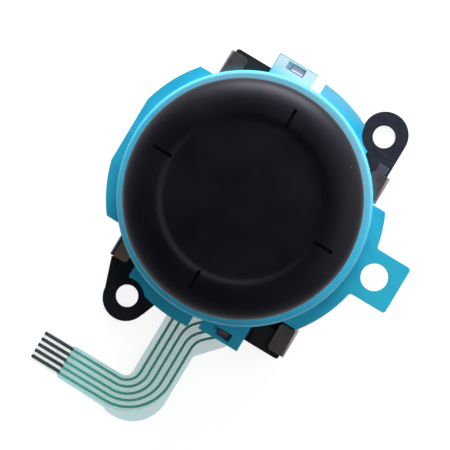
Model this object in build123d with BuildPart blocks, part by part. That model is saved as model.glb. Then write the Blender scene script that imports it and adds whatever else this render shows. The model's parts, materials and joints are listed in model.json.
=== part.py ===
"""Analog stick module of a game controller: a screened steel base, a film circuit with its tail,
a moulded frame with two rockers and two sliders, a coloured cover with a round rim, and a thumb cap.

All lengths are in millimetres. The stick's axis stands on the origin, z = 0 is the underside of the
steel base plate, +X points to the square ear of the cover and the tail of the film leaves along -Y.
"""

import os
from math import atan2, cos, degrees, radians, sin, sqrt

from build123d import *

os.makedirs("parts", exist_ok=True)

# Heights of the stack, measured up from the table
plate_thick = 0.30
film_thick = 0.15
film_top = plate_thick + film_thick
tray_floor = 0.80
frame_top = 4.20
tab_top = frame_top + plate_thick
flange_top = 5.00
roof_top = 5.60
rim_top = 5.80
pivot_z = 2.80

# Outline of the frame in plan
frame_left = -6.05
frame_right = 8.01
frame_front = -8.82
frame_back = 9.09
frame_mid_x = (frame_left + frame_right) / 2
frame_mid_y = (frame_front + frame_back) / 2
frame_wide = frame_right - frame_left
frame_long = frame_back - frame_front
corner_round = 0.20

# Screw ears of the steel base plate
ear_back = (6.34, 9.04)
ear_front = (-3.83, -10.67)
screw_hole = 0.825
ear_radius = 1.72
ear_shift = 0.17
ear_flank = 0.78
ear_heel = 0.93
head_room = 1.62

# Tabs of the base plate that fold up the sides of the frame and over its top
tab_wide = 2.12
tab_reach = 1.40
tab_bend = 0.22
left_tabs = (7.72, -7.40)
right_tabs = (5.54, -7.40)

# Pegs of the frame that go through the film and the plate
peg_radius = 0.42
peg_spots = ((frame_left + 1.45, frame_back - 0.79), (frame_right - 1.33, frame_front + 0.72))

# Snap lugs of the frame, from and to in x, one on the back wall and one on the front wall
lug_back = (-1.90, -0.95)
lug_front = (3.29, 4.11)
wall = 0.75

# Fits shared by the pieces that run in each other
bearing_fit = 0.04
slide_fit = 0.05
press_travel = 0.30

# Middle chamber of the frame and its bearing walls
chamber_x = 3.15
chamber_y = 3.45
bearing_wall = 0.70
dome_window = 2.40

# Rockers
trunnion_radius = 0.45
ring_outer = 1.90
ring_inner = 1.45
ring_half = 0.45
lug_half = 0.85
lug_end = 2.50
hub_radius = 1.15
hub_half = 0.75
hub_pin = 0.35
arch_inner = 1.70
arch_outer = 2.10
arch_half = 1.20
cheek_in = 2.75
cheek_out = 3.30

# Arms of the rockers and the sliders that they move
arm_length = 1.50
arm_thick = 0.50
arm_gap = 0.15
arm_pin = 0.30
slider_wide = 2.20
slider_long = 3.40
slider_top = 2.30
slider_low = tray_floor
keel_low = 0.62
bay_half = 3.20
bay_x = chamber_x + bearing_wall
bay_y = chamber_y + bearing_wall
bay_depth = 3.15
rail_in = 1.20
rail_out = 0.35

# Lever, its foot and the spring seat
shank_radius = 0.75
shank_flat = 0.60
neck_radius = 0.50
foot_low = 0.90
foot_round = 0.30
seat_top = pivot_z - hub_half - 0.03
seat_thick = 0.28
seat_radius = 1.20
flat_top = pivot_z + hub_half + press_travel + 0.10

# Return spring
wire_radius = 0.11
spring_foot = 2.72
spring_head = 0.98
spring_turns = 2.2

# Click dome and the film that holds it
dome_radius = 1.85
dome_high = 0.27
dome_thick = 0.06
dome_sphere = (dome_radius**2 + dome_high**2) / (2 * dome_high)
cover_film = 0.04

# Cover: the rim, the flange in its four stretches, the ear and the two clips
rim_radius = 9.28
rim_width = 0.98
rim_inner = rim_radius - rim_width
rim_bevel = 0.16
flange_radius = rim_radius + 0.86
flange_shift = 0.09
flat_left = -(rim_radius + 0.45)
gate_radius = 2.20
roof_radius = 3.70
roof_foot = roof_radius + 1.00
left_stretch = (-6.21, 6.56)
right_stretch = (-6.22, 4.39)
back_stretch = (0.75, 5.84)
front_stretch = (-4.30, 1.19)
back_clip = (-3.21, -0.03)
back_clip_reach = 10.38
front_clip = (1.93, 5.19)
front_clip_reach = -9.78
ledge_end = 5.54
ledge_deep = 0.18
back_window = (back_clip_reach - 0.77, back_clip_reach - 0.17)
front_window = (front_clip_reach + 0.25, front_clip_reach + 0.83)
lug_gap = 0.06
ear_low = -1.95
ear_high = 1.83
ear_end = 12.93
ear_hole_x = 10.96
ear_hole_y = (ear_low + ear_high) / 2
ear_hole = 1.00
edge_soft = 0.24

# Thumb cap, its core and the dust skirt
cap_radius = 8.63
cap_top = 11.30
cap_thick = 2.00
cap_low = cap_top - cap_thick
dish_depth = 0.45
dish_floor = cap_top - dish_depth
crown_radius = cap_radius - 1.96
skin_thick = 1.03
core_radius = cap_radius - skin_thick
core_top = cap_top - 1.25
lever_top = core_top - 0.30
notch_start = crown_radius - 0.62
notch_end = crown_radius + 0.83
notch_wide = 0.26
boss_low = cap_low - 0.80
boss_radius = 2.00
skirt_inner = boss_low - 0.50 - pivot_z
skirt_thick = 0.25
skirt_angle = 28.5
collar_radius = 1.30
collar_low = boss_low - 1.30

# Tail of the film
tail_root = frame_front + 0.80
tail_left = -0.61
tail_right = 2.63
tail_flare = tail_right + 1.69
tail_inner = -15.79
tail_width = 2.95
tail_outer = tail_inner - tail_width
tail_end = -7.61
bare_start = tail_end + 2.40
bend_inner = 0.60
bend_outer = 2.80


def span(x_from, x_to, y_from, y_to, mode=Mode.ADD):
    """Rectangle of the sketch between two x and two y positions."""
    with Locations(((x_from + x_to) / 2, (y_from + y_to) / 2)):
        Rectangle(abs(x_to - x_from), abs(y_to - y_from), mode=mode)


# Base plate: one steel pressing with two screw ears and four folded tabs
with BuildPart() as base_plate:
    with BuildSketch(Plane.XY):
        with Locations((frame_mid_x, frame_mid_y)):
            Rectangle(frame_wide, frame_long)
        back_end = ear_back[1] + ear_shift
        front_end = ear_front[1] - ear_shift
        with Locations((ear_back[0], back_end), (ear_front[0], front_end)):
            Circle(ear_radius)
        span(ear_back[0], ear_back[0] + ear_radius, ear_back[1] - 2.50, back_end)
        with BuildLine():
            Polyline(
                (ear_front[0] - ear_radius - ear_flank, frame_front + 0.12),
                (ear_front[0] - ear_radius + 0.03, front_end - 0.19),
                (ear_front[0] + ear_radius - 0.02, front_end - 0.41),
                (ear_front[0] + ear_radius + ear_heel, frame_front + 0.12),
                close=True,
            )
        make_face()
        with Locations(ear_back, ear_front):
            Circle(screw_hole, mode=Mode.SUBTRACT)
        with Locations(*peg_spots):
            Circle(peg_radius + bearing_fit, mode=Mode.SUBTRACT)
    extrude(amount=plate_thick)
    # the folded tabs, a C-shaped profile drawn from the side of the frame
    for side_x, inward, middles in ((frame_left, 1, left_tabs), (frame_right, -1, right_tabs)):
        outer_x = side_x - inward * plate_thick
        tip_x = outer_x + inward * tab_reach
        for middle in middles:
            with BuildSketch(Plane.XZ.offset(-middle)) as tab_profile:
                with BuildLine():
                    Polyline(
                        (side_x + inward * 0.30, 0),
                        (outer_x, 0),
                        (outer_x, tab_top),
                        (tip_x, tab_top),
                        (tip_x, frame_top),
                        (side_x, frame_top),
                        (side_x, plate_thick),
                        (side_x + inward * 0.30, plate_thick),
                        close=True,
                    )
                make_face()
                outer_corners = tab_profile.vertices().filter_by(
                    lambda v, x=outer_x: abs(v.X - x) < 0.01
                )
                fillet(outer_corners, tab_bend)
            extrude(amount=tab_wide / 2, both=True)
    tip_edges = base_plate.edges().filter_by(Axis.Z).filter_by(
        lambda e: e.center().Z > frame_top
        and (
            abs(e.center().X - frame_left + plate_thick - tab_reach) < 0.02
            or abs(e.center().X - frame_right - plate_thick + tab_reach) < 0.02
        )
    )
    fillet(tip_edges, 0.30)
base_plate.part.label = "base_plate"
export_step(base_plate.part, "parts/base_plate.step")


# Film circuit: one die-cut film under the whole frame, with the L-shaped tail
with BuildPart() as flex_circuit:
    with BuildSketch(Plane.XY.offset(plate_thick)):
        with Locations((frame_mid_x, frame_mid_y)):
            Rectangle(frame_wide - 0.16, frame_long - 0.16)
        with Locations(ear_back):
            Circle(head_room + 0.10, mode=Mode.SUBTRACT)
        span(ear_back[0], frame_right + 1, ear_back[1] - 2.44, frame_back + 1, Mode.SUBTRACT)
        with BuildLine():
            FilletPolyline(
                (tail_left, tail_root),
                (tail_left, tail_inner),
                (bare_start + 0.08, tail_inner),
                (bare_start, tail_inner - 0.06),
                (tail_end, tail_inner - 0.06),
                (tail_end, tail_outer + 0.44),
                (bare_start, tail_outer + 0.44),
                (bare_start + 0.12, tail_outer + 0.32),
                (tail_left - 0.53, tail_outer + 0.18),
                (tail_left - 0.10, tail_outer),
                (tail_right, tail_outer),
                (tail_right, frame_front - 3.16),
                (tail_flare, frame_front - 1.30),
                (tail_flare, tail_root),
                radius=(0, bend_inner, 0, 0, 0.12, 0.12, 0, 0, 0.3, 0.1, bend_outer, 0.5, 0.4, 0),
                close=True,
            )
        make_face()
        with Locations(*peg_spots):
            Circle(peg_radius + bearing_fit, mode=Mode.SUBTRACT)
    extrude(amount=film_thick)
flex_circuit.part.label = "flex_circuit"
export_step(flex_circuit.part, "parts/flex_circuit.step")


# Stiffener bonded under the contact end of the tail
with BuildPart() as tail_stiffener:
    with BuildSketch(Plane.XY.offset(plate_thick)):
        span(tail_end + 0.02, bare_start + 0.60, tail_inner - 0.09, tail_outer + 0.47)
    extrude(amount=-0.18)
tail_stiffener.part.label = "tail_stiffener"
export_step(tail_stiffener.part, "parts/tail_stiffener.step")


# Click dome: a thin snap disc under the foot of the lever
def dome_height(radius):
    """Height of the dome's inner face above the film at a distance from the axis."""
    return film_top + dome_high - dome_sphere + sqrt(dome_sphere**2 - radius**2)


with BuildPart() as click_dome:
    with BuildSketch(Plane.XZ):
        with BuildLine():
            skin = ThreePointArc(
                (dome_radius, dome_height(dome_radius) + dome_thick),
                (1.0, dome_height(1.0) + dome_thick),
                (0, dome_height(0) + dome_thick),
            )
            inner_skin = ThreePointArc(
                (0, dome_height(0)),
                (1.0, dome_height(1.0)),
                (dome_radius, dome_height(dome_radius)),
            )
            Line(skin @ 1, inner_skin @ 0)
            Line(inner_skin @ 1, skin @ 0)
        make_face()
    revolve(axis=Axis.Z)
click_dome.part.label = "click_dome"
export_step(click_dome.part, "parts/click_dome.step")


# Cover film that sticks the dome to the circuit
film_gap = dome_thick + 0.02
with BuildPart() as dome_film:
    with BuildSketch(Plane.XZ):
        with BuildLine():
            lower = ThreePointArc(
                (dome_radius + 0.06, dome_height(dome_radius + 0.06) + film_gap),
                (1.0, dome_height(1.0) + film_gap),
                (0, dome_height(0) + film_gap),
            )
            upper = ThreePointArc(
                (0, dome_height(0) + film_gap + cover_film),
                (1.0, dome_height(1.0) + film_gap + cover_film),
                (dome_radius + 0.10, dome_height(dome_radius + 0.10) + film_gap + cover_film),
            )
            Line(lower @ 1, upper @ 0)
            Polyline(
                upper @ 1,
                (dome_radius + 0.14, film_top + cover_film),
                (dome_window - 0.10, film_top + cover_film),
                (dome_window - 0.10, film_top),
                (dome_radius + 0.06, film_top),
                lower @ 0,
            )
        make_face()
    revolve(axis=Axis.Z)
dome_film.part.label = "dome_film"
export_step(dome_film.part, "parts/dome_film.step")


# Frame: the moulded tray that holds every moving piece
with BuildPart() as frame:
    with BuildSketch(Plane.XY.offset(film_top)):
        with Locations((frame_mid_x, frame_mid_y)):
            RectangleRounded(frame_wide, frame_long, corner_round)
        with Locations(ear_back):
            Circle(head_room + 0.03, mode=Mode.SUBTRACT)
        span(ear_back[0], frame_right + 1, ear_back[1] - 2.40, frame_back + 1, Mode.SUBTRACT)
        span(ear_back[0] - head_room, frame_right, ear_back[1], frame_back + 1, Mode.SUBTRACT)
    extrude(amount=frame_top - film_top)
    # the middle chamber, its dome window and the light pockets around it
    with BuildSketch(Plane.XY.offset(tray_floor)):
        Rectangle(2 * chamber_x, 2 * chamber_y)
        span(frame_left + wall, -bay_x, -bay_half, bay_half)
        span(frame_left + wall, -bay_x, bay_half + wall, frame_back - 2.40)
        span(frame_left + wall, -bay_x, -bay_half - wall, frame_front + 1.50)
        span(-bay_half - 0.30, -0.60, bay_y + 0.35, frame_back - wall)
        span(0.30, bay_half, bay_y + 0.35, frame_back - wall)
        span(bay_x, bay_x + bay_depth, bay_half + wall, frame_back - 3.20)
        span(bay_x, bay_x + bay_depth, -bay_half - 1.80, frame_front + 1.80)
    extrude(amount=frame_top - tray_floor, mode=Mode.SUBTRACT)
    with BuildSketch(Plane.XY.offset(film_top)):
        Circle(dome_window)
    extrude(amount=tray_floor - film_top, mode=Mode.SUBTRACT)
    # the two slider bays, open to the film, with the rails that carry the sliders
    with BuildSketch(Plane.XY.offset(film_top)):
        with Locations((bay_x + bay_depth / 2, 0)):
            Rectangle(bay_depth, 2 * bay_half)
        with Locations((0, -bay_y - bay_depth / 2)):
            Rectangle(2 * bay_half, bay_depth)
    extrude(amount=frame_top - film_top, mode=Mode.SUBTRACT)
    with BuildSketch(Plane.XY.offset(film_top)):
        with Locations((bay_x + rail_in / 2, 0)):
            Rectangle(rail_in, 2 * bay_half)
        with Locations((bay_x + bay_depth - rail_out / 2, 0)):
            Rectangle(rail_out, 2 * bay_half)
        with Locations((0, -bay_y - rail_in / 2)):
            Rectangle(2 * bay_half, rail_in)
        with Locations((0, -bay_y - bay_depth + rail_out / 2)):
            Rectangle(2 * bay_half, rail_out)
    extrude(amount=tray_floor - 0.03 - film_top)
    # U-shaped bearings, open to the top
    saddle = trunnion_radius + bearing_fit
    with BuildSketch(Plane.YZ):
        with Locations((0, pivot_z)):
            Circle(saddle)
        with Locations((0, (pivot_z + frame_top) / 2)):
            Rectangle(2 * saddle, frame_top - pivot_z)
    extrude(amount=bay_x + 0.1, both=True, mode=Mode.SUBTRACT)
    with BuildSketch(Plane.XZ):
        with Locations((0, pivot_z)):
            Circle(saddle)
        with Locations((0, (pivot_z + frame_top) / 2)):
            Rectangle(2 * saddle, frame_top - pivot_z)
    extrude(amount=bay_y + 0.1, both=True, mode=Mode.SUBTRACT)
    # the low ledge beside the front clip
    with BuildSketch(Plane.XY.offset(frame_top)):
        span(front_clip[1] - 0.40, ledge_end, frame_front, frame_front + 0.95)
    extrude(amount=-ledge_deep, mode=Mode.SUBTRACT)
    # snap lugs for the two clips of the cover
    with BuildSketch(Plane.XY.offset(frame_top - 1.0)):
        span(lug_back[0], lug_back[1], frame_back - 0.04, back_clip_reach - 0.23)
        span(lug_front[0], lug_front[1], frame_front + 0.01, front_clip_reach + 0.31)
    extrude(amount=1.0)
    # their hooks, which slope down to the outside
    for lug, near, tip in (
        (lug_back, back_clip_reach - 0.69, back_clip_reach - 0.23),
        (lug_front, front_clip_reach + 0.75, front_clip_reach + 0.31),
    ):
        with BuildSketch(Plane.YZ.offset(lug[0])):
            with BuildLine():
                Polyline(
                    (near, frame_top - 0.1),
                    (near, frame_top + 0.62),
                    (tip, frame_top + 0.36),
                    (tip, frame_top - 0.1),
                    close=True,
                )
            make_face()
        extrude(amount=lug[1] - lug[0])
    # pegs through the film and the plate
    with BuildSketch(Plane.XY.offset(film_top)):
        with Locations(*peg_spots):
            Circle(peg_radius)
    extrude(amount=-(film_top - 0.04))
frame.part.label = "frame"
export_step(frame.part, "parts/frame.step")


# Cover: flange, square ear, round rim, raised roof with the gate, clips and bearing pads
far = flange_radius + 2
with BuildPart() as housing:
    with BuildSketch(Plane.XY.offset(frame_top)) as flange:
        with Locations((flange_shift, 0)):
            Circle(flange_radius)
        # the openings between the stretches of the flange
        span(-far, back_clip[0], left_stretch[1], far, Mode.SUBTRACT)
        span(-far, front_stretch[0], left_stretch[0], -far, Mode.SUBTRACT)
        span(back_stretch[1], far, right_stretch[1], far, Mode.SUBTRACT)
        span(front_clip[1], far, right_stretch[0], -far, Mode.SUBTRACT)
        span(back_clip[1], back_stretch[0], 0, far, Mode.SUBTRACT)
        span(front_stretch[1], front_clip[0], 0, -far, Mode.SUBTRACT)
        span(front_clip[0], front_clip[1], front_clip_reach, -far, Mode.SUBTRACT)
        span(-far, flat_left, -far, far, Mode.SUBTRACT)
        with Locations(ear_back):
            Circle(head_room, mode=Mode.SUBTRACT)
        with Locations(ear_front):
            Circle(head_room - 0.10, mode=Mode.SUBTRACT)
        span(back_clip[0], back_clip[1], 0, back_clip_reach)
        span(front_clip[0], front_clip[1], 0, front_clip_reach)
        Circle(rim_radius)
        span(0, ear_end, ear_low, ear_high)
        ear_corners = flange.vertices().filter_by(
            lambda v: abs(v.Y) < -ear_low + 0.01 and v.X > rim_radius
        )
        fillet(ear_corners, edge_soft)
        side_corners = flange.vertices().filter_by(
            lambda v: v.X > rim_radius - 1.4
            and (abs(v.Y - right_stretch[1]) < 0.01 or abs(v.Y - right_stretch[0]) < 0.01)
            and v.X**2 + v.Y**2 > (rim_radius + 0.4) ** 2
        )
        fillet(side_corners, edge_soft)
        with Locations((ear_hole_x, ear_hole_y)):
            Circle(ear_hole, mode=Mode.SUBTRACT)
        # the windows of the two clips, where the lugs come through
        span(lug_back[0] - lug_gap, lug_back[1] + lug_gap, *back_window, Mode.SUBTRACT)
        span(lug_front[0] - lug_gap, lug_front[1] + lug_gap, *front_window, Mode.SUBTRACT)
    extrude(amount=flange_top - frame_top)
    # the blind lead-in beside each window
    with BuildSketch(Plane.XY.offset(flange_top)):
        span(lug_back[0] - 0.45, lug_back[1], *back_window)
        span(lug_front[0] - 0.42, lug_front[1] + 0.22, *front_window)
    extrude(amount=-0.45, mode=Mode.SUBTRACT)
    # the rim and the raised roof over the upper rocker
    with BuildSketch(Plane.XZ):
        with BuildLine():
            Polyline(
                (rim_inner, flange_top - 0.1),
                (rim_radius, flange_top - 0.1),
                (rim_radius, rim_top - rim_bevel - 0.04),
                (rim_radius - rim_bevel, rim_top - 0.03),
                (rim_radius - rim_bevel - 0.12, rim_top),
                (rim_inner + 0.22, rim_top - 0.05),
                (rim_inner + 0.05, rim_top - 0.14),
                (rim_inner, rim_top - 0.30),
                close=True,
            )
        make_face()
        with BuildLine():
            Polyline(
                (0, frame_top + 0.1),
                (0, roof_top),
                (roof_radius, roof_top),
                (roof_foot, flange_top),
                (roof_foot, frame_top + 0.1),
                close=True,
            )
        make_face()
    revolve(axis=Axis.Z)
    # the hollow for the upper rocker, and the gate that the lever goes through
    with BuildSketch(Plane.XY.offset(frame_top)):
        Rectangle(4.90, 2 * chamber_y - 0.10)
    extrude(amount=0.90, mode=Mode.SUBTRACT)
    with BuildSketch(Plane.XY.offset(roof_top)):
        Circle(gate_radius)
    extrude(amount=-2.0, mode=Mode.SUBTRACT)
    # pockets for the folded tabs of the base plate
    with BuildSketch(Plane.XY.offset(frame_top)):
        with Locations(*[(frame_left + 0.40, y) for y in left_tabs]):
            Rectangle(tab_reach + 0.30, tab_wide + 0.20)
        with Locations(*[(frame_right - 0.40, y) for y in right_tabs]):
            Rectangle(tab_reach + 0.30, tab_wide + 0.20)
    extrude(amount=plate_thick + 0.06, mode=Mode.SUBTRACT)
    # pads that close the bearings of the frame
    pad_low = pivot_z + trunnion_radius + bearing_fit
    pad_wide = 2 * (trunnion_radius - bearing_fit)
    with BuildSketch(Plane.XY.offset(pad_low)):
        for side in (-1, 1):
            span(side * (chamber_x + slide_fit), side * (bay_x - slide_fit), -pad_wide / 2, pad_wide / 2)
            span(-pad_wide / 2, pad_wide / 2, side * (chamber_y + slide_fit), side * (bay_y - slide_fit))
    extrude(amount=frame_top + 0.2 - pad_low)
    # ribs that keep the sliders down on their rails
    rib_low = slider_top + slide_fit
    with BuildSketch(Plane.XY.offset(rib_low)):
        with Locations((bay_x + 2.60, 0)):
            Rectangle(0.60, 2 * bay_half - 0.20)
        with Locations((0, -bay_y - 2.60)):
            Rectangle(2 * bay_half - 0.20, 0.60)
    extrude(amount=frame_top + 0.2 - rib_low)
housing.part.label = "housing"
export_step(housing.part, "parts/housing.step")


# Return spring: a conical coil between the floor of the frame and the spring seat
spring_low = tray_floor + wire_radius
spring_high = seat_top - seat_thick - wire_radius
spring_rise = spring_high - spring_low
with BuildPart() as return_spring:
    with BuildLine() as coil:
        Helix(
            pitch=spring_rise / spring_turns,
            height=spring_rise,
            radius=spring_foot,
            center=(0, 0, spring_low),
            cone_angle=-degrees(atan2(spring_foot - spring_head, spring_rise)),
        )
    with BuildSketch(Plane(origin=coil.line @ 0, z_dir=coil.line % 0)):
        RegularPolygon(wire_radius, 6)
    sweep()
return_spring.part.label = "return_spring"
export_step(return_spring.part, "parts/return_spring.step")


# Ring rocker: turns about X in the frame and carries the hub
with BuildPart() as ring_rocker:
    with BuildSketch(Plane.XY.offset(pivot_z - ring_half)):
        Circle(ring_outer)
        Rectangle(2 * lug_half, 2 * lug_end)
    extrude(amount=2 * ring_half)
    with BuildSketch(Plane.YZ.offset(ring_inner + 0.15)):
        with Locations((0, pivot_z)):
            Circle(trunnion_radius)
    extrude(amount=bay_x + arm_gap + 0.1 - ring_inner - 0.15)
    with BuildSketch(Plane.YZ.offset(-ring_inner - 0.15)):
        with Locations((0, pivot_z)):
            Circle(trunnion_radius)
    extrude(amount=-(bay_x - 0.05 - ring_inner - 0.15))
    with BuildSketch(Plane.XY.offset(pivot_z - 1)):
        Circle(ring_inner)
    extrude(amount=2, mode=Mode.SUBTRACT)
    with BuildSketch(Plane.XZ):
        with Locations((0, pivot_z)):
            Circle(hub_pin + bearing_fit)
    extrude(amount=lug_end + 0.1, both=True, mode=Mode.SUBTRACT)
    # the arm beside the bearing wall and its pin
    with BuildSketch(Plane.YZ.offset(bay_x + arm_gap)):
        with Locations((0, pivot_z)):
            Circle(0.62)
        with Locations((0, pivot_z - arm_length)):
            Circle(0.44)
        with BuildLine():
            Polyline(
                (-0.62, pivot_z),
                (-0.44, pivot_z - arm_length),
                (0.44, pivot_z - arm_length),
                (0.62, pivot_z),
                close=True,
            )
        make_face()
    extrude(amount=arm_thick)
    with BuildSketch(Plane.YZ.offset(bay_x + arm_gap + arm_thick)):
        with Locations((0, pivot_z - arm_length)):
            Circle(arm_pin)
    extrude(amount=0.85)
ring_rocker.part.label = "ring_rocker"
export_step(ring_rocker.part, "parts/ring_rocker.step")


# Pivot hub: turns about Y in the ring rocker and guides the lever
with BuildPart() as pivot_hub:
    with BuildSketch(Plane.XY.offset(pivot_z - hub_half)):
        Circle(hub_radius)
    extrude(amount=2 * hub_half)
    with BuildSketch(Plane.XZ):
        with Locations((0, pivot_z)):
            Circle(hub_pin)
    extrude(amount=lug_end - 0.12, both=True)
    with BuildSketch(Plane.XY.offset(pivot_z - 1)):
        Circle(shank_radius + bearing_fit)
        with Locations((shank_flat + bearing_fit + 0.5, 0), (-shank_flat - bearing_fit - 0.5, 0)):
            Rectangle(1.0, 3.0, mode=Mode.SUBTRACT)
    extrude(amount=2, mode=Mode.SUBTRACT)
pivot_hub.part.label = "pivot_hub"
export_step(pivot_hub.part, "parts/pivot_hub.step")


# Lever: the shank with two flats, its rounded foot and the spigot for the cap
with BuildPart() as lever:
    with BuildSketch(Plane.XZ):
        with BuildLine():
            tip = ThreePointArc(
                (0, foot_low),
                (neck_radius * sin(radians(45)), foot_low + foot_round * (1 - cos(radians(45)))),
                (neck_radius, foot_low + foot_round),
            )
            Polyline(
                tip @ 1,
                (neck_radius, seat_top),
                (shank_radius, seat_top),
                (shank_radius, lever_top - 0.15),
                (shank_radius - 0.15, lever_top),
                (0, lever_top),
                (0, foot_low),
            )
        make_face()
    revolve(axis=Axis.Z)
    with BuildSketch(Plane.XY.offset(seat_top)):
        with Locations((shank_flat + 0.5, 0), (-shank_flat - 0.5, 0)):
            Rectangle(1.0, 3.0)
    extrude(amount=flat_top - seat_top, mode=Mode.SUBTRACT)
lever.part.label = "lever"
export_step(lever.part, "parts/lever.step")


# Spring seat: a small plate pressed on the neck of the lever
with BuildPart() as spring_seat:
    with BuildSketch(Plane.XY.offset(seat_top - seat_thick)):
        Circle(seat_radius)
        Circle(neck_radius, mode=Mode.SUBTRACT)
    extrude(amount=seat_thick)
    chamfer(spring_seat.edges().group_by(Axis.Z)[0].sort_by(SortBy.RADIUS)[-1], 0.06)
spring_seat.part.label = "spring_seat"
export_step(spring_seat.part, "parts/spring_seat.step")


# Dust skirt: a thin bell on the lever that covers the gate of the cover
with BuildPart() as dust_skirt:
    lip = radians(skirt_angle)
    skirt_outer = skirt_inner + skirt_thick
    with BuildSketch(Plane.XZ):
        with BuildLine():
            outside = ThreePointArc(
                (skirt_outer * sin(lip), pivot_z + skirt_outer * cos(lip)),
                (skirt_outer * sin(lip / 2), pivot_z + skirt_outer * cos(lip / 2)),
                (0, pivot_z + skirt_outer),
            )
            inside = ThreePointArc(
                (0, pivot_z + skirt_inner),
                (skirt_inner * sin(lip / 2), pivot_z + skirt_inner * cos(lip / 2)),
                (skirt_inner * sin(lip), pivot_z + skirt_inner * cos(lip)),
            )
            Line(outside @ 1, inside @ 0)
            Line(inside @ 1, outside @ 0)
        make_face()
        span(0, collar_radius, collar_low, boss_low)
        span(0, shank_radius, collar_low - 1, boss_low + 1, Mode.SUBTRACT)
    revolve(axis=Axis.Z)
dust_skirt.part.label = "dust_skirt"
export_step(dust_skirt.part, "parts/dust_skirt.step")


# Core of the cap: hard plate with ribs and the socket for the lever
web_low = core_top - 0.30
core_shoulder = (
    (core_radius, core_top - 0.25),
    (core_radius - 0.35, core_top + 0.10),
    (crown_radius - 0.45, core_top + 0.30),
    (crown_radius - 1.25, core_top - 0.05),
)
with BuildPart() as cap_core:
    with BuildSketch(Plane.XZ):
        with BuildLine():
            Polyline(
                (0, boss_low),
                (boss_radius - 0.20, boss_low),
                (boss_radius, boss_low + 0.20),
                (boss_radius, web_low),
                (core_radius - 0.70, web_low),
                (core_radius - 0.70, cap_low),
                (core_radius, cap_low),
                *core_shoulder,
                (0, core_top - 0.05),
                close=True,
            )
        make_face()
    revolve(axis=Axis.Z)
    with BuildSketch(Plane.XY.offset(cap_low)):
        with PolarLocations((boss_radius + core_radius - 0.70) / 2, 6, start_angle=30):
            Rectangle(core_radius - 0.70 - boss_radius + 0.20, 0.55)
    extrude(amount=web_low + 0.10 - cap_low)
    with BuildSketch(Plane.XY.offset(boss_low)):
        Circle(shank_radius)
    extrude(amount=lever_top + 0.05 - boss_low, mode=Mode.SUBTRACT)
cap_core.part.label = "cap_core"
export_step(cap_core.part, "parts/cap_core.step")


# Thumb cap: the soft skin over the core, with the dish and four short notches
with BuildPart() as thumb_cap:
    with BuildSketch(Plane.XZ):
        with BuildLine():
            crown = FilletPolyline(
                (0, dish_floor),
                (crown_radius - 1.20, dish_floor),
                (crown_radius - 0.15, cap_top + 0.10),
                (cap_radius - 0.58, cap_top - 0.30),
                (cap_radius, cap_top - 1.00),
                (cap_radius, cap_low + 0.20),
                (cap_radius - 0.20, cap_low),
                (core_radius, cap_low),
                radius=(1.60, 1.90, 1.40, 0.95, 0, 0),
            )
            Polyline(crown @ 1, *core_shoulder, (0, core_top - 0.05), crown @ 0)
        make_face()
    revolve(axis=Axis.Z)
    with BuildSketch(Plane.XY.offset(cap_top + 0.3)):
        with PolarLocations((notch_start + notch_end) / 2, 4):
            SlotOverall(notch_end - notch_start, notch_wide)
    extrude(amount=-0.62, mode=Mode.SUBTRACT)
thumb_cap.part.label = "thumb_cap"
export_step(thumb_cap.part, "parts/thumb_cap.step")


# Arch rocker: turns about Y above the ring, with the slot for the lever
with BuildPart() as arch_rocker:
    with BuildSketch(Plane.XZ):
        with Locations((0, pivot_z)):
            Circle(arch_outer)
            Circle(arch_inner, mode=Mode.SUBTRACT)
        with Locations((0, pivot_z - 1.5)):
            Rectangle(6.0, 5.0, mode=Mode.SUBTRACT)
        with Locations((arch_half + 1.0, pivot_z), (-arch_half - 1.0, pivot_z)):
            Rectangle(2.0, 6.0, mode=Mode.SUBTRACT)
    extrude(amount=cheek_out, both=True)
    for face_y in (cheek_in, -cheek_out):
        with BuildSketch(Plane.XZ.offset(-face_y)):
            with Locations((0, pivot_z)):
                Circle(arch_outer)
            with Locations((arch_half + 1.0, pivot_z), (-arch_half - 1.0, pivot_z)):
                Rectangle(2.0, 6.0, mode=Mode.SUBTRACT)
            with Locations((0, pivot_z - 2.60)):
                Rectangle(6.0, 4.0, mode=Mode.SUBTRACT)
        extrude(amount=-(cheek_out - cheek_in))
    with BuildSketch(Plane.XY.offset(pivot_z)):
        SlotOverall(3.60, 2 * (shank_radius + 0.06), rotation=90)
    extrude(amount=3, mode=Mode.SUBTRACT)
    with BuildSketch(Plane.XZ.offset(-cheek_out)):
        with Locations((0, pivot_z)):
            Circle(trunnion_radius)
    extrude(amount=-(bay_y - 0.05 - cheek_out))
    with BuildSketch(Plane.XZ.offset(cheek_out)):
        with Locations((0, pivot_z)):
            Circle(trunnion_radius)
    extrude(amount=bay_y + arm_gap + 0.1 - cheek_out)
    # the arm beside the bearing wall and its pin
    with BuildSketch(Plane.XZ.offset(bay_y + arm_gap)):
        with Locations((0, pivot_z)):
            Circle(0.62)
        with Locations((0, pivot_z - arm_length)):
            Circle(0.44)
        with BuildLine():
            Polyline(
                (-0.62, pivot_z),
                (-0.44, pivot_z - arm_length),
                (0.44, pivot_z - arm_length),
                (0.62, pivot_z),
                close=True,
            )
        make_face()
    extrude(amount=arm_thick)
    with BuildSketch(Plane.XZ.offset(bay_y + arm_gap + arm_thick)):
        with Locations((0, pivot_z - arm_length)):
            Circle(arm_pin)
    extrude(amount=0.85)
arch_rocker.part.label = "arch_rocker"
export_step(arch_rocker.part, "parts/arch_rocker.step")


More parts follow.
